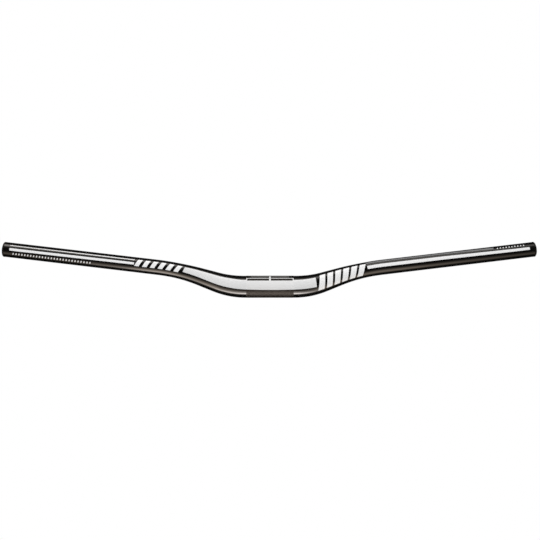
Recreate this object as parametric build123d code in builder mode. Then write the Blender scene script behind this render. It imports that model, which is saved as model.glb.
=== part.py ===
from build123d import *
import math
import os

# Riser handlebar, moulded in one hollow piece. Millimetres, +X along the bar, +Y to the rear, +Z up.
# The origin is the centre of the stem clamp.

# Overall width across the two ends
bar_width = 787.0
# Straight barrel that the stem clamps
clamp_diameter = 31.8
clamp_length = 72.0
clamp_wall = 2.6
# Straight ends that carry the grips
grip_diameter = 22.2
grip_wall = 2.4
upsweep = 5.0
backsweep = 9.0
# Double bend: how high it has lifted the axis where the straight grip starts, and its shape
rise = 25.4
leg_angle = 16.8
lower_bend_radius = 125.0
upper_bend_radius = 325.0
# The taper ends this far short of the straight grip
taper_margin = 20.0
# Broken edges at the cut ends
rim_round = 0.8
bore_bevel = 0.4

clamp_radius = clamp_diameter / 2
grip_radius = grip_diameter / 2
clamp_bore_radius = clamp_radius - clamp_wall
grip_bore_radius = grip_radius - grip_wall


def heading(climb):
    flat = math.cos(math.radians(climb))
    return Vector(
        flat * math.cos(math.radians(backsweep)),
        flat * math.sin(math.radians(backsweep)),
        math.sin(math.radians(climb)),
    )


# Corners of the right half of the axis, and how far each bend reaches from its corner
leg_way = heading(leg_angle)
grip_way = heading(upsweep)
lower_turn = math.acos(leg_way.X)
upper_turn = math.radians(leg_angle - upsweep)
lower_reach = lower_bend_radius * math.tan(lower_turn / 2)
upper_reach = upper_bend_radius * math.tan(upper_turn / 2)
lower_corner = Vector(clamp_length / 2 + lower_reach, 0, 0)
upper_corner = lower_corner + leg_way * ((rise - upper_reach * grip_way.Z) / leg_way.Z)

# The grip runs on until its rounded rim is half the overall width from the middle
rim_tilt = math.sqrt(1 - grip_way.X**2)
rim_overhang = (grip_radius - rim_round) * rim_tilt + rim_round * (1 - grip_way.X)
bar_end_x = bar_width / 2 - rim_overhang
bar_end = upper_corner + grip_way * ((bar_end_x - upper_corner.X) / grip_way.X)

with BuildLine():
    lower_bend = TangentArc(
        lower_corner - Vector(lower_reach, 0, 0),
        lower_corner + leg_way * lower_reach,
        tangent=(1, 0, 0),
    )
    leg = Line(lower_bend @ 1, upper_corner - leg_way * upper_reach)
    upper_bend = TangentArc(leg @ 1, upper_corner + grip_way * upper_reach, tangent=leg_way)

grip_start = upper_bend @ 1
grip_length = (bar_end - grip_start).length
taper_length = lower_bend.length + leg.length + upper_bend.length - taper_margin

# Sections of the double bend: the plane across the axis and the share of the taper done by there
sections = []
travelled = 0.0
for stretch, steps in ((lower_bend, 12), (leg, 6), (upper_bend, 16)):
    for step in range(steps):
        here = step / steps
        share = min((travelled + here * stretch.length) / taper_length, 1.0)
        plane = Plane(origin=stretch @ here, x_dir=(0, 0, 1), z_dir=stretch % here)
        sections.append((plane, share * share * (3 - 2 * share)))
    travelled += stretch.length
grip_plane = Plane(origin=grip_start, x_dir=(0, 0, 1), z_dir=grip_way)
sections.append((grip_plane, 1.0))

with BuildPart() as handlebar:
    # Right side: tapered double bend, then the straight grip with its rim rounded
    for plane, share in sections:
        with BuildSketch(plane):
            Circle(clamp_radius + (grip_radius - clamp_radius) * share)
    loft()
    with BuildSketch(grip_plane):
        Circle(grip_radius)
    extrude(amount=grip_length)
    rim = handlebar.faces().filter_by(GeomType.PLANE).sort_by(Axis.X)[-1]
    fillet(rim.edges(), radius=rim_round)
    # Left side, and the barrel between the two
    mirror(about=Plane.YZ)
    with BuildSketch(Plane.YZ):
        Circle(clamp_radius)
    extrude(amount=clamp_length / 2, both=True)
    # The hollow follows the outside, with its own wall in the barrel and in the grips
    with BuildPart(mode=Mode.SUBTRACT):
        for plane, share in sections:
            with BuildSketch(plane):
                Circle(clamp_bore_radius + (grip_bore_radius - clamp_bore_radius) * share)
        loft()
        with BuildSketch(grip_plane):
            Circle(grip_bore_radius)
        extrude(amount=grip_length)
        mirror(about=Plane.YZ)
        with BuildSketch(Plane.YZ):
            Circle(clamp_bore_radius)
        extrude(amount=clamp_length / 2, both=True)
    # Mouths of the hollow
    end_faces = handlebar.faces().filter_by(GeomType.PLANE).sort_by(Axis.X)
    for end_face in (end_faces[0], end_faces[-1]):
        mouth = end_face.edges().sort_by(Edge.length)[0]
        chamfer(mouth, length=bore_bevel)

handlebar.part.label = "handlebar"
os.makedirs("parts", exist_ok=True)
export_step(handlebar.part, "parts/handlebar.step")
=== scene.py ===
import math

import bpy
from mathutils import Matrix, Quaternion, Vector


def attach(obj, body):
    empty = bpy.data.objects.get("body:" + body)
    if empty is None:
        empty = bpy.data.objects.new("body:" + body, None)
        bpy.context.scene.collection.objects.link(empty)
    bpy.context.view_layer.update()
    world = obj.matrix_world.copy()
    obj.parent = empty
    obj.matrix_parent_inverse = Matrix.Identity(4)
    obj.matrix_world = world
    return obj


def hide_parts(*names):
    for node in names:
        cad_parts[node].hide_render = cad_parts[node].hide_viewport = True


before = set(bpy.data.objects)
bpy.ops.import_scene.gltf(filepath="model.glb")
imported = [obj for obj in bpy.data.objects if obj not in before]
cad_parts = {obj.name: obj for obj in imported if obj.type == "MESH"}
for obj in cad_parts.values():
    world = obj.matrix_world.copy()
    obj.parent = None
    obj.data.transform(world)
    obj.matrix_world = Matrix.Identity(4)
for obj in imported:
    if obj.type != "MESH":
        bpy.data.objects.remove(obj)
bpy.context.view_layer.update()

# Sizes of the bar in metres and degrees, the same as in the part's source
BAR_WIDTH = 0.787
BARREL_RADIUS = 0.0159
BARREL_LENGTH = 0.072
BARREL_WALL = 0.0026
GRIP_RADIUS = 0.0111
GRIP_WALL = 0.0024
UPSWEEP = 5.0
BACKSWEEP = 9.0
RISE = 0.0254
LEG_ANGLE = 16.8
LOWER_BEND_RADIUS = 0.125
UPPER_BEND_RADIUS = 0.325
TAPER_MARGIN = 0.020
RIM_ROUND = 0.0008
BORE_BEVEL = 0.0004

# Where the lacquer is rubbed dull: to each side of the middle, for the clamp, and beside each cut end
DULL_REACH = 0.0338
DULL_RIM = 0.0020

# How finely the mesh follows the bar
POINTS_AROUND = 96
OUTSIDE_STEP = 0.0025
HOLLOW_STEP = 0.006
RIM_STEPS = 6
SHARP_ANGLE = 30.0

# How the bar's surface is laid out on the bake map, as shares of its width and height
BAKE_BANDS = 3
BAKE_BANDS_WIDTH = 0.94
BAKE_BANDS_HEIGHT = 0.88
BAKE_MARGIN = 0.003

# Finishes of the bar, in the order of its material slots
LACQUER, RUBBED, CUT_EDGE, HOLLOW = range(4)


# Axis of the bar

def heading(climb):
    """Direction of the bar on the +X side where it climbs at an angle."""
    flat = math.cos(math.radians(climb))
    return Vector((
        flat * math.cos(math.radians(BACKSWEEP)),
        flat * math.sin(math.radians(BACKSWEEP)),
        math.sin(math.radians(climb)),
    ))


barrel_way = Vector((1, 0, 0))
leg_way = heading(LEG_ANGLE)
grip_way = heading(UPSWEEP)
lower_turn = barrel_way.angle(leg_way)
upper_turn = leg_way.angle(grip_way)
lower_reach = LOWER_BEND_RADIUS * math.tan(lower_turn / 2)
upper_reach = UPPER_BEND_RADIUS * math.tan(upper_turn / 2)
lower_corner = barrel_way * (BARREL_LENGTH / 2 + lower_reach)
upper_corner = lower_corner + leg_way * ((RISE - upper_reach * grip_way.z) / leg_way.z)
rim_tilt = math.sqrt(1 - grip_way.x**2)
rim_overhang = (GRIP_RADIUS - RIM_ROUND) * rim_tilt + RIM_ROUND * (1 - grip_way.x)
bar_end = upper_corner + grip_way * ((BAR_WIDTH / 2 - rim_overhang - upper_corner.x) / grip_way.x)
grip_start = upper_corner + grip_way * upper_reach

# Distances along the axis at which each stretch ends
BARREL_END = BARREL_LENGTH / 2
LOWER_BEND_END = BARREL_END + LOWER_BEND_RADIUS * lower_turn
LEG_END = LOWER_BEND_END + (upper_corner - lower_corner).length - lower_reach - upper_reach
UPPER_BEND_END = LEG_END + UPPER_BEND_RADIUS * upper_turn
BAR_END = UPPER_BEND_END + (bar_end - grip_start).length
TAPER_LENGTH = UPPER_BEND_END - BARREL_END - TAPER_MARGIN


def on_bend(start, way_in, way_out, bend_radius, run):
    """Point and direction after a run along an arc that turns from one way to another."""
    turn = run / bend_radius
    inward = (way_out - way_in * way_in.dot(way_out)).normalized()
    point = start + bend_radius * (math.sin(turn) * way_in + (1 - math.cos(turn)) * inward)
    return point, math.cos(turn) * way_in + math.sin(turn) * inward


def on_axis(along):
    """Point and direction on the axis, at a distance from the middle; negative is the -X side."""
    run = abs(along)
    if run <= BARREL_END:
        point, way = barrel_way * run, barrel_way
    elif run <= LOWER_BEND_END:
        start = barrel_way * BARREL_END
        point, way = on_bend(start, barrel_way, leg_way, LOWER_BEND_RADIUS, run - BARREL_END)
    elif run <= LEG_END:
        point, way = lower_corner + leg_way * (lower_reach + run - LOWER_BEND_END), leg_way
    elif run <= UPPER_BEND_END:
        start = upper_corner - leg_way * upper_reach
        point, way = on_bend(start, leg_way, grip_way, UPPER_BEND_RADIUS, run - LEG_END)
    else:
        point, way = grip_start + grip_way * (run - UPPER_BEND_END), grip_way
    if along < 0:
        return Vector((-point.x, point.y, point.z)), Vector((way.x, -way.y, -way.z))
    return point, way


def taper(along, barrel_size, grip_size):
    """A size that goes smoothly from the barrel's to the grip's."""
    share = min(max((abs(along) - BARREL_END) / TAPER_LENGTH, 0.0), 1.0)
    return barrel_size + (grip_size - barrel_size) * share * share * (3 - 2 * share)


def outside_radius(along):
    return taper(along, BARREL_RADIUS, GRIP_RADIUS)


def hollow_radius(along):
    return taper(along, BARREL_RADIUS - BARREL_WALL, GRIP_RADIUS - GRIP_WALL)


# Mesh of the bar: rings round the axis, along the outside, over the cut end and back through the hollow

def evenly(start, end, step):
    """Places from start to end, a step apart at most."""
    count = math.ceil(abs(end - start) / step)
    return [start + (end - start) * i / count for i in range(count + 1)]


def outside_rings():
    """Distance along the axis, radius, and the finish of the stretch that follows each ring."""
    shoulder = BAR_END - RIM_ROUND
    gloss_end = shoulder - DULL_RIM
    rings = []
    for start, end, finish in (
        (-shoulder, -gloss_end, RUBBED),
        (-gloss_end, -DULL_REACH, LACQUER),
        (-DULL_REACH, DULL_REACH, RUBBED),
        (DULL_REACH, gloss_end, LACQUER),
        (gloss_end, shoulder, RUBBED),
    ):
        stretch = evenly(start, end, OUTSIDE_STEP)[:-1]
        rings += [(along, outside_radius(along), finish) for along in stretch]
    return rings


def rim_rings():
    """The rounded edge, the flat cut and the mouth of the hollow at the +X end."""
    shoulder = BAR_END - RIM_ROUND
    flat_top = GRIP_RADIUS - RIM_ROUND
    mouth_radius = GRIP_RADIUS - GRIP_WALL + BORE_BEVEL
    rings = []
    for i in range(RIM_STEPS):
        turn = math.pi / 2 * i / RIM_STEPS
        along = shoulder + RIM_ROUND * math.sin(turn)
        rings.append((along, flat_top + RIM_ROUND * math.cos(turn), RUBBED))
    for radius in (flat_top, (flat_top + mouth_radius) / 2, mouth_radius):
        rings.append((BAR_END, radius, CUT_EDGE))
    return rings


def hollow_rings():
    """The inside from the +X end to the other, whose last ring starts the bevel of that mouth."""
    end = BAR_END - BORE_BEVEL
    rings = [(along, hollow_radius(along), HOLLOW) for along in evenly(end, -end, HOLLOW_STEP)]
    rings[-1] = (-end, hollow_radius(end), CUT_EDGE)
    return rings


def far_rim_rings(rim):
    """The same rim at the -X end, from the mouth outwards."""
    return [
        (-along, radius, finish)
        for (along, radius, _), (_, _, finish) in zip(rim[:0:-1], rim[-2::-1])
    ]


def bake_sheets(outside, rim, hollow, far_rim):
    """Where the rings go on the bake map, from how many there are of each kind.

    Each sheet is its first and last ring, then its left, right, bottom and top. The outside is cut into
    bands in columns and rows, with the rims to their right and the hollow above them.
    """
    wide, high = BAKE_BANDS_WIDTH, BAKE_BANDS_HEIGHT
    bands = BAKE_BANDS**2
    sheets = []
    for band in range(bands):
        row, column = divmod(band, BAKE_BANDS)
        sheets.append((
            outside * band // bands, outside * (band + 1) // bands,
            wide * column / BAKE_BANDS, wide * (column + 1) / BAKE_BANDS,
            high * row / BAKE_BANDS, high * (row + 1) / BAKE_BANDS,
        ))
    first = outside
    for count, left, bottom, top in (
        (rim, wide, 0.0, high / 2),
        (hollow, 0.0, high, 1.0),
        (far_rim, wide, high / 2, high),
    ):
        sheets.append((first, first + count, left, 1.0, bottom, top))
        first += count
    return [
        (start, end, left + BAKE_MARGIN, right - BAKE_MARGIN, bottom + BAKE_MARGIN, top - BAKE_MARGIN)
        for start, end, left, right, bottom, top in sheets
    ]


def ring_points(along, radius):
    """Points of one ring, from the back over the bottom, the front and the top."""
    centre, way = on_axis(along)
    up = (Vector((0, 0, 1)) - way * way.z).normalized()
    front = way.cross(up)
    turns = [math.tau * (step / POINTS_AROUND - 0.5) for step in range(POINTS_AROUND)]
    return [centre + radius * (math.cos(turn) * front + math.sin(turn) * up) for turn in turns]


def make_bar():
    """The whole bar, with its finishes, its places along and around, and its bake map."""
    outside, rim, hollow = outside_rings(), rim_rings(), hollow_rings()
    far_rim = far_rim_rings(rim)
    rings = outside + rim + hollow + far_rim
    points, depths = [], []
    for along, radius, _ in rings:
        points += ring_points(along, radius)
        depths += [outside_radius(along) - radius] * POINTS_AROUND
    faces, finishes, places, bake_places = [], [], [], []
    sheets = bake_sheets(len(outside), len(rim), len(hollow), len(far_rim))
    for first, last, left, right, bottom, top in sheets:
        for ring in range(first, last):
            _, _, finish = rings[ring]
            for step in range(POINTS_AROUND):
                corners = ((ring, step), (ring + 1, step), (ring + 1, step + 1), (ring, step + 1))
                faces.append([r % len(rings) * POINTS_AROUND + s % POINTS_AROUND for r, s in corners])
                finishes.append(finish)
                for r, s in corners:
                    along, _, _ = rings[r % len(rings)]
                    places += [along, s / POINTS_AROUND - 0.5]
                    bake_places.append(left + (right - left) * (r - first) / (last - first))
                    bake_places.append(bottom + (top - bottom) * s / POINTS_AROUND)
    mesh = bpy.data.meshes.new("moulded_bar")
    mesh.from_pydata(points, [], faces)
    mesh.polygons.foreach_set("material_index", finishes)
    mesh.uv_layers.new(name="Along_around").data.foreach_set("uv", places)
    mesh.uv_layers.new(name="OFBake").data.foreach_set("uv", bake_places)
    mesh.attributes.new("Wall_depth", "FLOAT", "POINT").data.foreach_set("value", depths)
    mesh.shade_smooth()
    mesh.set_sharp_from_angle(angle=math.radians(SHARP_ANGLE))
    mesh.validate()
    bar = bpy.data.objects.new("moulded_bar", mesh)
    bpy.context.scene.collection.objects.link(bar)
    return bar


# Node helpers

# Sockets of the Mix node, which has one set for values and one for colours
VALUE_UNDER, VALUE_OVER, VALUE_MIXED = 2, 3, 0
COLOUR_UNDER, COLOUR_OVER, COLOUR_MIXED = 6, 7, 2


def put(tree, kind, inputs=None, **settings):
    """Adds a node, and sets or links the inputs that are given by name or number."""
    node = tree.nodes.new(kind)
    for name, value in settings.items():
        setattr(node, name, value)
    for name, value in (inputs or {}).items():
        if isinstance(value, bpy.types.NodeSocket):
            tree.links.new(value, node.inputs[name])
        else:
            node.inputs[name].default_value = value
    return node


def maths(tree, operation, *values):
    return put(tree, "ShaderNodeMath", dict(enumerate(values)), operation=operation).outputs[0]


def ramp(tree, value, low, high, at_low=0.0, at_high=1.0):
    inputs = {"Value": value, "From Min": low, "From Max": high, "To Min": at_low, "To Max": at_high}
    return put(tree, "ShaderNodeMapRange", inputs).outputs["Result"]


def curve(tree, value, stops):
    """A smooth curve through a few stops, each a value and its result."""
    first, last = stops[0][0], stops[-1][0]
    low = min(result for _, result in stops)
    high = max(result for _, result in stops)
    node = put(tree, "ShaderNodeFloatCurve", {"Value": ramp(tree, value, first, last)})
    points = node.mapping.curves[0].points
    places = [((at - first) / (last - first), (result - low) / (high - low)) for at, result in stops]
    points[0].location, points[1].location = places[0], places[-1]
    for place in places[1:-1]:
        points.new(*place)
    node.mapping.update()
    return ramp(tree, node.outputs[0], 0.0, 1.0, at_low=low, at_high=high)


def effect(name, inputs, outputs):
    """An empty node group, with its input sockets and output sockets."""
    group = bpy.data.node_groups.new(name, "ShaderNodeTree")
    for socket in inputs:
        group.interface.new_socket(socket, in_out="INPUT", socket_type="NodeSocketFloat")
    for socket in outputs:
        group.interface.new_socket(socket, in_out="OUTPUT", socket_type="NodeSocketFloat")
    entry, exit_node = group.nodes.new("NodeGroupInput"), group.nodes.new("NodeGroupOutput")
    return group, entry.outputs, exit_node.inputs


def apply(tree, group, **inputs):
    """Places a node group, with its inputs given by name, and returns its outputs."""
    return put(tree, "ShaderNodeGroup", inputs, node_tree=group).outputs


def finish_material(name):
    material = bpy.data.materials.new(name)
    material.use_nodes = True
    tree = material.node_tree
    return material, tree, tree.nodes["Principled BSDF"]


def mix_colour(tree, mask, under, over, blend_type="MIX"):
    inputs = {"Factor": mask, COLOUR_UNDER: under, COLOUR_OVER: over}
    mix = put(tree, "ShaderNodeMix", inputs, data_type="RGBA", blend_type=blend_type)
    return mix.outputs[COLOUR_MIXED]


def mix_value(tree, mask, under, over):
    inputs = {"Factor": mask, VALUE_UNDER: under, VALUE_OVER: over}
    return put(tree, "ShaderNodeMix", inputs).outputs[VALUE_MIXED]


def uneven(tree, colour, cloud):
    """A colour that a slow cloud darkens a little here and there."""
    return mix_colour(tree, 1.0, colour, mix_value(tree, cloud, CLOUD_SHADE, 1.0), blend_type="MULTIPLY")


def roughen(tree, shader, height, strength, distance):
    inputs = {"Height": height, "Strength": strength, "Distance": distance}
    tree.links.new(put(tree, "ShaderNodeBump", inputs).outputs["Normal"], shader.inputs["Normal"])


def grey(level, warmth=0.0):
    """A grey, or one that leans to brown by a share."""
    return (level * (1 + warmth), level, level * (1 - warmth), 1.0)


# The print and two grey bands of painted sheen, in millimetres along the bar from its middle and degrees
# round it from the front upwards.
# An edge that slopes is given as two places along the bar and the angle at each.
WHITE_INK = grey(0.86)
PALE_INK = grey(0.735)
# Grey painted on as the sheen of the top light along the top of the right arm
ARM_SHEEN_GREY = grey(0.20)
# Grey painted on as the sheen of the light from above along the top of the barrel
BARREL_SHEEN_GREY = grey(0.10, 0.05)
FIELD_EDGE = 0.12
# Degrees that a millimetre of soft edge takes up round the bar
EDGE_DEGREES = 4.5

# Pale panel over the barrel and the bends
PANEL_START, PANEL_END, PANEL_LEAN = -126.5, 66.2, 0.03
PANEL_LOWER_EDGE = (
    (-130, 13.0), (-108, 8.9), (-80, 3.6), (-54, 0.3), (-30, -3.2),
    (0, -5.2), (30, -3.8), (46, -2.2), (70, -3.4),
)
PANEL_UPPER_EDGE = (
    (-130, 50.0), (-118, 53.2), (-100, 54.0), (-70, 54.2), (-45, 50.6),
    (-36, 49.4), (36, 49.4), (46, 50.2), (70, 53.2),
)

# Stripes and lines printed on the arms, and a grey band of painted sheen along the top of the right arm
LEFT_STRIPES_START, LEFT_STRIPES_END = -387.8, -199.3
LEFT_STRIPE_BOTTOM = (-374.0, -210.0, 7.4, 11.0)
LEFT_STRIPE_TOP = (-374.0, -210.0, 27.0, 29.2)
LEFT_LINE_BOTTOM = 47.2
LEFT_LINE_TOP = (-374.0, -260.0, 51.8, 53.8)
RIGHT_STRIPES_START, RIGHT_STRIPE_END, RIGHT_SHEEN_END = 143.1, 388.8, 334.7
RIGHT_STRIPE_BOTTOM = (255.0, 365.0, 15.0, 12.4)
RIGHT_STRIPE_TOP = (255.0, 365.0, 40.6, 33.4)
RIGHT_SHEEN_BOTTOM = (255.0, 335.0, 59.0, 52.0)
RIGHT_SHEEN_TOP = (255.0, 335.0, 76.0, 70.0)

# Rows of leaning bars between the panel and the stripes, and fine scales near the ends
LEFT_BARS = dict(start=-196.4, count=6, pitch=11.6, width=6.8, bottom=2.0, top=55.0, lean=0.09)
RIGHT_BARS = dict(start=70.2, count=6, pitch=11.9, width=8.6, bottom=-27.0, top=62.0, lean=0.09)
LEFT_SCALE = dict(start=-382.6, count=27, pitch=4.5, width=1.7, bottom=-23.0, top=-8.0, lean=0.05)
RIGHT_SCALE = dict(start=339.7, count=10, pitch=4.5, width=1.6, bottom=50.0, top=61.0, lean=0.05)

# Lines that show where the clamp goes, and a grey band of painted sheen along the top of the barrel
BARREL_PANEL_TOP = 45.4
CLAMP_LINE_BOTTOM, CLAMP_LINE_TOP = 58.2, 62.2
CLAMP_TICK_WIDTH = 1.4
MIDDLE_MARK_WIDTH, MIDDLE_MARK_TOP = 2.4, 80.0
SHEEN_BAND_LENGTH, SHEEN_BAND_BOTTOM, SHEEN_BAND_TOP = 54.0, 66.0, 84.0
# Degrees that the marks reach down into the panel that they stand on, so that no gap shows
MARK_OVERLAP = 1.0


# Shared effects

# Millimetres in a metre, and degrees in a full turn
MILLIMETRES = 1000.0
FULL_TURN = 360.0
# Where the noise counts as darkest and as lightest
NOISE_DARK, NOISE_LIGHT = 0.3, 0.7
# Size of the slow unevenness in metres, and what it leaves of a colour where it is darkest
CLOUD_SIZE = 0.025
CLOUD_SHADE = 0.96
FIELD_INPUTS = ["Along", "Around", "Start", "End", "Bottom", "Top", "Lean", "Edge"]


def bar_place_effect():
    """Millimetres along the bar from its middle, and degrees round it from the front upwards."""
    group, _, out = effect("Bar_place", [], ["Along", "Around"])
    place = put(group, "ShaderNodeUVMap", uv_map="Along_around").outputs["UV"]
    parts = put(group, "ShaderNodeSeparateXYZ", {"Vector": place}).outputs
    group.links.new(maths(group, "MULTIPLY", parts["X"], MILLIMETRES), out["Along"])
    group.links.new(maths(group, "MULTIPLY", parts["Y"], FULL_TURN), out["Around"])
    return group


def leaning_along(group, given):
    """Place along the bar, sheared by the lean about the middle of the field's height."""
    middle = maths(group, "MULTIPLY", maths(group, "ADD", given["Bottom"], given["Top"]), 0.5)
    height = maths(group, "SUBTRACT", given["Around"], middle)
    return maths(group, "SUBTRACT", given["Along"], maths(group, "MULTIPLY", height, given["Lean"]))


def between(group, value, low, high, edge):
    """1 between two limits and 0 outside, with soft edges inside them."""
    past_low = ramp(group, maths(group, "SUBTRACT", value, low), 0.0, edge)
    below_high = ramp(group, maths(group, "SUBTRACT", high, value), 0.0, edge)
    return maths(group, "MULTIPLY", past_low, below_high)


def print_and_sheen_field_effect():
    """A field for the print and for the bands of painted sheen, between two places along the bar and two
    angles round it, with its ends leaning.
    """
    group, given, out = effect("Ink_field", FIELD_INPUTS, ["Ink"])
    along = leaning_along(group, given)
    length = between(group, along, given["Start"], given["End"], given["Edge"])
    edge_angle = maths(group, "MULTIPLY", given["Edge"], EDGE_DEGREES)
    height = between(group, given["Around"], given["Bottom"], given["Top"], edge_angle)
    group.links.new(maths(group, "MULTIPLY", length, height), out["Ink"])
    return group


def ink_bars_effect():
    """A row of equal leaning bars inside such a field."""
    group, given, out = effect("Ink_bars", FIELD_INPUTS + ["Pitch", "Width"], ["Ink"])
    field = apply(group, PRINT_AND_SHEEN_FIELD, **{name: given[name] for name in FIELD_INPUTS})
    run = maths(group, "SUBTRACT", leaning_along(group, given), given["Start"])
    step = maths(group, "FLOORED_MODULO", run, given["Pitch"])
    bars = between(group, step, 0.0, given["Width"], given["Edge"])
    group.links.new(maths(group, "MULTIPLY", bars, field["Ink"]), out["Ink"])
    return group


def panel_ink_effect():
    """The pale panel: its lower edge is one long curve, and its top is given."""
    group, given, out = effect("Panel_ink", ["Along", "Around", "Top"], ["Ink"])
    field = apply(
        group, PRINT_AND_SHEEN_FIELD, Along=given["Along"], Around=given["Around"], Start=PANEL_START, End=PANEL_END,
        Bottom=curve(group, given["Along"], PANEL_LOWER_EDGE), Top=given["Top"],
        Lean=PANEL_LEAN, Edge=FIELD_EDGE,
    )
    group.links.new(field["Ink"], out["Ink"])
    return group


def fibre_effect():
    """Straight carbon fibres along the bar: their light and dark, and their height."""
    given_names = ["Along", "Around", "Length", "Fineness"]
    group, given, out = effect("Carbon_fibres", given_names, ["Shade", "Height"])
    turn = maths(group, "RADIANS", given["Around"])
    inputs = {
        "X": maths(group, "DIVIDE", given["Along"], given["Length"]),
        "Y": maths(group, "MULTIPLY", maths(group, "COSINE", turn), given["Fineness"]),
        "Z": maths(group, "MULTIPLY", maths(group, "SINE", turn), given["Fineness"]),
    }
    place = put(group, "ShaderNodeCombineXYZ", inputs).outputs["Vector"]
    inputs = {"Vector": place, "Scale": 1.0, "Detail": 4.0, "Roughness": 0.65}
    noise = put(group, "ShaderNodeTexNoise", inputs).outputs[0]
    group.links.new(ramp(group, noise, NOISE_DARK, NOISE_LIGHT), out["Shade"])
    group.links.new(noise, out["Height"])
    return group


def grain_effect():
    """Fine moulded grain of a given size in metres."""
    group, given, out = effect("Moulded_grain", ["Size"], ["Grain"])
    place = put(group, "ShaderNodeTexCoord").outputs["Object"]
    inputs = {"Vector": place, "Scale": maths(group, "DIVIDE", 1.0, given["Size"]), "Detail": 2.0}
    noise = put(group, "ShaderNodeTexNoise", inputs).outputs[0]
    group.links.new(ramp(group, noise, NOISE_DARK, NOISE_LIGHT), out["Grain"])
    return group


def cloud_effect():
    """Slow unevenness of a finish."""
    group, _, out = effect("Slow_cloud", [], ["Cloud"])
    place = put(group, "ShaderNodeTexCoord").outputs["Object"]
    inputs = {"Vector": place, "Scale": 1 / CLOUD_SIZE, "Detail": 3.0}
    noise = put(group, "ShaderNodeTexNoise", inputs).outputs[0]
    group.links.new(ramp(group, noise, NOISE_DARK, NOISE_LIGHT), out["Cloud"])
    return group


BAR_PLACE = bar_place_effect()
PRINT_AND_SHEEN_FIELD = print_and_sheen_field_effect()
INK_BARS = ink_bars_effect()
PANEL_INK = panel_ink_effect()
FIBRES = fibre_effect()
GRAIN = grain_effect()
CLOUD = cloud_effect()


class PrintAndSheen:
    """Lays printed fields and bands of painted sheen over a material's colour, one after another."""

    def __init__(self, tree, place, colour):
        self.tree, self.colour = tree, colour
        self.along, self.around = place["Along"], place["Around"]

    def lay(self, paint, mask):
        self.colour = mix_colour(self.tree, mask, self.colour, paint)

    def slope(self, edge):
        """The angle of an edge, which is one number or slopes along the bar."""
        return ramp(self.tree, self.along, *edge) if isinstance(edge, tuple) else edge

    def panel(self, paint, top):
        mask = apply(self.tree, PANEL_INK, Along=self.along, Around=self.around, Top=top)
        self.lay(paint, mask["Ink"])

    def field(self, paint, start, end, bottom, top):
        mask = apply(
            self.tree, PRINT_AND_SHEEN_FIELD, Along=self.along, Around=self.around, Start=start, End=end,
            Bottom=self.slope(bottom), Top=self.slope(top), Lean=0.0, Edge=FIELD_EDGE,
        )
        self.lay(paint, mask["Ink"])

    def bars(self, paint, start, count, pitch, width, bottom, top, lean):
        mask = apply(
            self.tree, INK_BARS, Along=self.along, Around=self.around, Start=start, End=start + count * pitch,
            Bottom=bottom, Top=top, Lean=lean, Edge=FIELD_EDGE, Pitch=pitch, Width=width,
        )
        self.lay(paint, mask["Ink"])


# Finishes

# Darkest and lightest colour of each finish, without the print
CARBON = grey(0.0006, 0.10), grey(0.004, 0.10)
DULL_CARBON = grey(0.002, 0.12), grey(0.006, 0.12)
LAMINATE = grey(0.012, 0.05), grey(0.085, 0.05)
RESIN = grey(0.012), grey(0.04)
# Lowest and highest roughness of each finish
CARBON_ROUGHNESS = 0.30, 0.38
DULL_ROUGHNESS = 0.42, 0.52
LAMINATE_ROUGHNESS = 0.5, 0.7
RESIN_ROUGHNESS = 0.35, 0.6
# Warm tint of the shine where the lacquer is rubbed dull
DULL_TINT = (1.0, 0.91, 0.83, 1.0)
# Thickness of one layer of carbon in the wall, in metres
LAYER_THICKNESS = 0.0002


def lacquered_carbon():
    """Gloss lacquer over straight carbon fibres, the print and a band of painted sheen."""
    material, tree, shader = finish_material("lacquered_carbon")
    place = apply(tree, BAR_PLACE)
    fibres = apply(tree, FIBRES, Along=place["Along"], Around=place["Around"], Length=30.0, Fineness=22.0)
    cloud = apply(tree, CLOUD)["Cloud"]

    bare = mix_colour(tree, fibres["Shade"], *CARBON)
    print_and_sheen = PrintAndSheen(tree, place, bare)
    print_and_sheen.panel(PALE_INK, curve(tree, place["Along"], PANEL_UPPER_EDGE))
    print_and_sheen.field(WHITE_INK, LEFT_STRIPES_START, LEFT_STRIPES_END, LEFT_STRIPE_BOTTOM, LEFT_STRIPE_TOP)
    print_and_sheen.field(WHITE_INK, LEFT_STRIPES_START, LEFT_STRIPES_END, LEFT_LINE_BOTTOM, LEFT_LINE_TOP)
    print_and_sheen.field(WHITE_INK, RIGHT_STRIPES_START, RIGHT_STRIPE_END, RIGHT_STRIPE_BOTTOM, RIGHT_STRIPE_TOP)
    # A grey band of painted sheen of the top light along the top of the right arm
    print_and_sheen.field(ARM_SHEEN_GREY, RIGHT_STRIPES_START, RIGHT_SHEEN_END, RIGHT_SHEEN_BOTTOM, RIGHT_SHEEN_TOP)
    for row in (LEFT_BARS, RIGHT_BARS, LEFT_SCALE, RIGHT_SCALE):
        print_and_sheen.bars(WHITE_INK, **row)

    tree.links.new(uneven(tree, print_and_sheen.colour, cloud), shader.inputs["Base Color"])
    tree.links.new(mix_value(tree, cloud, *CARBON_ROUGHNESS), shader.inputs["Roughness"])
    shader.inputs["Specular IOR Level"].default_value = 0.04
    shader.inputs["Coat Weight"].default_value = 1.0
    shader.inputs["Coat Roughness"].default_value = 0.06
    shader.inputs["Coat IOR"].default_value = 1.5
    roughen(tree, shader, fibres["Height"], strength=0.04, distance=0.0002)
    return material


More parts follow.
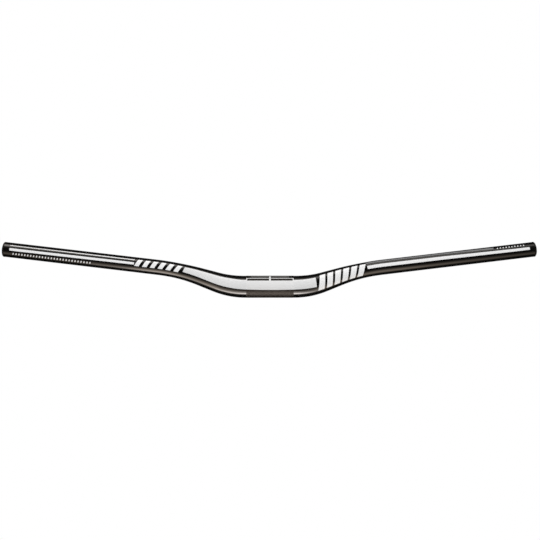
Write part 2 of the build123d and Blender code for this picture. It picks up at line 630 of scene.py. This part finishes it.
def rubbed_carbon():
    """Lacquer rubbed dull: round the barrel for the clamp, with the print and a band of painted sheen on it,
    and at the rims.
    """
    material, tree, shader = finish_material("rubbed_carbon")
    place = apply(tree, BAR_PLACE)
    grain = apply(tree, GRAIN, Size=0.0007)["Grain"]
    cloud = apply(tree, CLOUD)["Cloud"]

    bare = mix_colour(tree, grain, *DULL_CARBON)
    print_and_sheen = PrintAndSheen(tree, place, bare)
    reach = DULL_REACH * MILLIMETRES
    band, mark = SHEEN_BAND_LENGTH / 2, MIDDLE_MARK_WIDTH / 2
    foot = BARREL_PANEL_TOP - MARK_OVERLAP
    # A grey band of painted sheen of the light from above along the top of the barrel
    print_and_sheen.field(BARREL_SHEEN_GREY, -band, band, SHEEN_BAND_BOTTOM, SHEEN_BAND_TOP)
    print_and_sheen.panel(PALE_INK, BARREL_PANEL_TOP)
    print_and_sheen.field(PALE_INK, -reach, reach, CLAMP_LINE_BOTTOM, CLAMP_LINE_TOP)
    print_and_sheen.field(PALE_INK, -mark, mark, foot, MIDDLE_MARK_TOP)
    print_and_sheen.field(PALE_INK, -reach, CLAMP_TICK_WIDTH - reach, foot, CLAMP_LINE_TOP)
    print_and_sheen.field(PALE_INK, reach - CLAMP_TICK_WIDTH, reach, foot, CLAMP_LINE_TOP)

    tree.links.new(uneven(tree, print_and_sheen.colour, cloud), shader.inputs["Base Color"])
    tree.links.new(mix_value(tree, grain, *DULL_ROUGHNESS), shader.inputs["Roughness"])
    shader.inputs["Specular IOR Level"].default_value = 0.23
    shader.inputs["Specular Tint"].default_value = DULL_TINT
    roughen(tree, shader, grain, strength=0.25, distance=0.0001)
    return material


def cut_laminate():
    """Sawn end of the tube: bare layers of carbon, one inside the other."""
    material, tree, shader = finish_material("cut_laminate")
    place = apply(tree, BAR_PLACE)
    fibres = apply(tree, FIBRES, Along=place["Along"], Around=place["Around"], Length=2.0, Fineness=30.0)
    grain = apply(tree, GRAIN, Size=0.0003)["Grain"]
    depth = put(tree, "ShaderNodeAttribute", attribute_name="Wall_depth").outputs["Fac"]
    layers = ramp(tree, maths(tree, "PINGPONG", depth, LAYER_THICKNESS), 0.0, LAYER_THICKNESS)
    shade = maths(tree, "MULTIPLY", maths(tree, "ADD", layers, fibres["Shade"]), 0.5)
    tree.links.new(mix_colour(tree, shade, *LAMINATE), shader.inputs["Base Color"])
    tree.links.new(mix_value(tree, grain, *LAMINATE_ROUGHNESS), shader.inputs["Roughness"])
    roughen(tree, shader, maths(tree, "ADD", layers, grain), strength=0.4, distance=0.0001)
    return material


def bare_hollow():
    """Inside of the tube: resin over the fibres, as it came off the bladder."""
    material, tree, shader = finish_material("bare_hollow")
    place = apply(tree, BAR_PLACE)
    fibres = apply(tree, FIBRES, Along=place["Along"], Around=place["Around"], Length=18.0, Fineness=12.0)
    grain = apply(tree, GRAIN, Size=0.002)["Grain"]
    cloud = apply(tree, CLOUD)["Cloud"]
    tree.links.new(mix_colour(tree, fibres["Shade"], *RESIN), shader.inputs["Base Color"])
    tree.links.new(mix_value(tree, cloud, *RESIN_ROUGHNESS), shader.inputs["Roughness"])
    roughen(tree, shader, maths(tree, "ADD", fibres["Height"], grain), strength=0.5, distance=0.0003)
    return material


bar = make_bar()
for finish in (lacquered_carbon(), rubbed_carbon(), cut_laminate(), bare_hollow()):
    bar.data.materials.append(finish)
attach(bar, "root")
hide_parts("handlebar")


# Studio

STAGE_PALE = grey(0.85)


def pale_stage(name, whiteness):
    """A plain pale surface that camera, mirror and glass rays see as white, and that still takes shadow."""
    material = bpy.data.materials.new(name)
    material.use_nodes = True
    tree = material.node_tree
    tree.nodes.remove(tree.nodes["Principled BSDF"])
    rays = put(tree, "ShaderNodeLightPath").outputs
    mirrored = maths(tree, "MAXIMUM", rays["Is Glossy Ray"], rays["Is Transmission Ray"])
    seen = maths(tree, "MAXIMUM", rays["Is Camera Ray"], mirrored)
    plain = put(tree, "ShaderNodeBsdfDiffuse", {"Color": STAGE_PALE}).outputs[0]
    white = put(tree, "ShaderNodeEmission", {"Color": grey(1.0), "Strength": 1.0}).outputs[0]
    share = maths(tree, "MULTIPLY", seen, whiteness)
    mixed = put(tree, "ShaderNodeMixShader", {0: share, 1: plain, 2: white}).outputs[0]
    tree.links.new(mixed, tree.nodes["Material Output"].inputs["Surface"])
    return material


def stage_sheet(name, corners, whiteness):
    mesh = bpy.data.meshes.new(name)
    mesh.from_pydata(corners, [], [tuple(range(len(corners)))])
    sheet = bpy.data.objects.new(name, mesh)
    sheet.data.materials.append(pale_stage(name, whiteness))
    bpy.context.scene.collection.objects.link(sheet)
    return sheet


def soft_lamp(name, place, way, size, watts, colour=(1.0, 1.0, 1.0)):
    lamp = bpy.data.lights.new(name, "AREA")
    lamp.shape = "RECTANGLE"
    lamp.size, lamp.size_y = size
    lamp.energy = watts
    lamp.color = colour
    holder = bpy.data.objects.new(name, lamp)
    holder.location = place
    holder.rotation_euler = Vector(way).to_track_quat("-Z", "Y").to_euler()
    holder.visible_camera = False
    bpy.context.scene.collection.objects.link(holder)
    return holder


def sheen_lamp(name, place, way, size, watts, colour, along_stops, across_stops):
    """A lamp that only shows as a sheen on the lacquer, and fades over its length and its width."""
    holder = soft_lamp(name, place, way, size, watts, colour)
    holder.visible_diffuse = False
    lamp = holder.data
    lamp.use_nodes = True
    tree = lamp.node_tree
    spot = put(tree, "ShaderNodeNewGeometry").outputs["Parametric"]
    parts = put(tree, "ShaderNodeSeparateXYZ", {"Vector": spot}).outputs
    long, wide = size
    along = ramp(tree, parts["X"], 0.0, 1.0, at_low=-long / 2, at_high=long / 2)
    across = ramp(tree, parts["Y"], 0.0, 1.0, at_low=-wide / 2, at_high=wide / 2)
    strength = maths(tree, "MULTIPLY", curve(tree, along, along_stops), curve(tree, across, across_stops))
    tree.links.new(strength, tree.nodes["Emission"].inputs["Strength"])


def level_sheet(left, right, near, far, height):
    return [(left, near, height), (right, near, height), (right, far, height), (left, far, height)]


def upright_sheet(left, right, low, high, depth):
    return [(left, depth, low), (right, depth, low), (right, depth, high), (left, depth, high)]


floor_corners = level_sheet(left=-3.0, right=3.0, near=-3.0, far=0.8, height=-0.8)
floor = stage_sheet("floor", floor_corners, whiteness=0.96)
floor.visible_glossy = False
backdrop_corners = upright_sheet(left=-5.0, right=5.0, low=-1.9, high=0.75, depth=3.0)
stage_sheet("backdrop", backdrop_corners, whiteness=1.0)

# Soft light from above, which the lacquer doesn't mirror
key = soft_lamp("key_lamp", place=(-0.2, -0.5, 1.3), way=(0.2, 0.5, -1.3), size=(1.6, 1.2), watts=7.4)
key.visible_glossy = False

# The sheens along the lacquer: one above the print, and two below it from one leaning side
sheen_lamp(
    "top_sheen", place=(0.0, -0.5, 1.1), way=(0, 0, -1),
    size=(2.8, 1.8), watts=20.0, colour=(1.0, 0.95, 0.90),
    along_stops=(
        (-1.4, 4.2), (-0.8, 3.8), (-0.6, 2.9), (0.0, 1.9),
        (0.5, 1.4), (0.86, 1.08), (1.06, 2.4), (1.4, 4.2),
    ),
    across_stops=(
        (-0.9, 0.02), (-0.1, 0.08), (0.12, 0.25), (0.35, 0.92),
        (0.45, 1.0), (0.56, 0.9), (0.75, 0.25), (0.9, 0.0),
    ),
)
# The two low lamps face the bar along one leaning line, and the middle one is lower and to one side
LOW_DISTANCE, LOW_MIDDLE_DISTANCE = 0.5, 0.47
LOW_MIDDLE_DROP = 0.146
LOW_MIDDLE_SHIFT = Vector((-0.11, 0, 0))
low_way = Vector((0, 1, 1)).normalized()
low_across = Vector((0, -1, 1)).normalized()
sheen_lamp(
    "low_sheen", place=low_way * -LOW_DISTANCE, way=low_way,
    size=(1.7, 0.9), watts=4.8, colour=(1.0, 0.84, 0.69),
    along_stops=(
        (-0.85, 0.5), (-0.7, 1.3), (-0.47, 1.9), (-0.385, 4.2), (-0.3, 2.5), (-0.14, 2.0),
        (0.0, 1.2), (0.13, 1.05), (0.3, 2.0), (0.39, 2.75), (0.52, 1.65), (0.85, 0.6),
    ),
    across_stops=(
        (-0.45, 0.0), (-0.3, 0.2), (-0.18, 0.72), (-0.08, 1.0),
        (0.02, 0.82), (0.12, 0.48), (0.3, 0.12), (0.45, 0.0),
    ),
)
low_middle = low_way * -LOW_MIDDLE_DISTANCE + low_across * -LOW_MIDDLE_DROP + LOW_MIDDLE_SHIFT
sheen_lamp(
    "low_middle_sheen", place=low_middle, way=low_way,
    size=(0.88, 0.48), watts=1.75, colour=(1.0, 0.93, 0.88),
    along_stops=(
        (-0.44, 0.0), (-0.29, 2.8), (-0.19, 5.6), (0.05, 9.3), (0.17, 10.6), (0.25, 7.5), (0.44, 0.0),
    ),
    across_stops=(
        (-0.24, 0.0), (-0.15, 0.02), (-0.07, 0.85), (-0.02, 1.05),
        (0.04, 0.75), (0.08, 0.3), (0.18, 0.12), (0.24, 0.0),
    ),
)

# White to the camera, plain light to the bar, and a dark surround in the lacquer that opens to the sides
AMBIENT_LIGHT = 0.84
DARK_SURROUND, SIDE_SURROUND = 0.005, 0.25
SIDES_START, SIDES_FULL = 0.6, 0.95
world = bpy.data.worlds.new("studio")
bpy.context.scene.world = world
world.use_nodes = True
tree = world.node_tree
rays = put(tree, "ShaderNodeLightPath").outputs
ambient = tree.nodes["Background"]
ambient.inputs["Color"].default_value = grey(1.0)
way = put(tree, "ShaderNodeTexCoord").outputs["Generated"]
sideways = maths(tree, "ABSOLUTE", put(tree, "ShaderNodeSeparateXYZ", {"Vector": way}).outputs["X"])
surround = ramp(tree, sideways, SIDES_START, SIDES_FULL, at_low=DARK_SURROUND, at_high=SIDE_SURROUND)
lit = mix_value(tree, rays["Is Glossy Ray"], AMBIENT_LIGHT, surround)
tree.links.new(mix_value(tree, rays["Is Camera Ray"], lit, 1.0), ambient.inputs["Strength"])

# Camera at the photograph's angle
CAMERA_AIM = Vector((0.0001, 0.0, 0.02446))
CAMERA_DISTANCE = 1.5
CAMERA_ELEVATION = math.radians(10.73)
CAMERA_TURN = math.radians(0.4)
CAMERA_ROLL = math.radians(0.06)
CAMERA_LENS = 69.77
camera_data = bpy.data.cameras.new("camera")
camera_data.lens = CAMERA_LENS
camera = bpy.data.objects.new("camera", camera_data)
flat = math.cos(CAMERA_ELEVATION)
back = Vector((-flat * math.sin(CAMERA_TURN), -flat * math.cos(CAMERA_TURN), math.sin(CAMERA_ELEVATION)))
camera.location = CAMERA_AIM + back * CAMERA_DISTANCE
unrolled = (-back).to_track_quat("-Z", "Y")
camera.rotation_euler = (unrolled @ Quaternion((0, 0, 1), CAMERA_ROLL)).to_euler()
bpy.context.scene.collection.objects.link(camera)
bpy.context.scene.camera = camera
bpy.context.scene.view_settings.view_transform = "Standard"
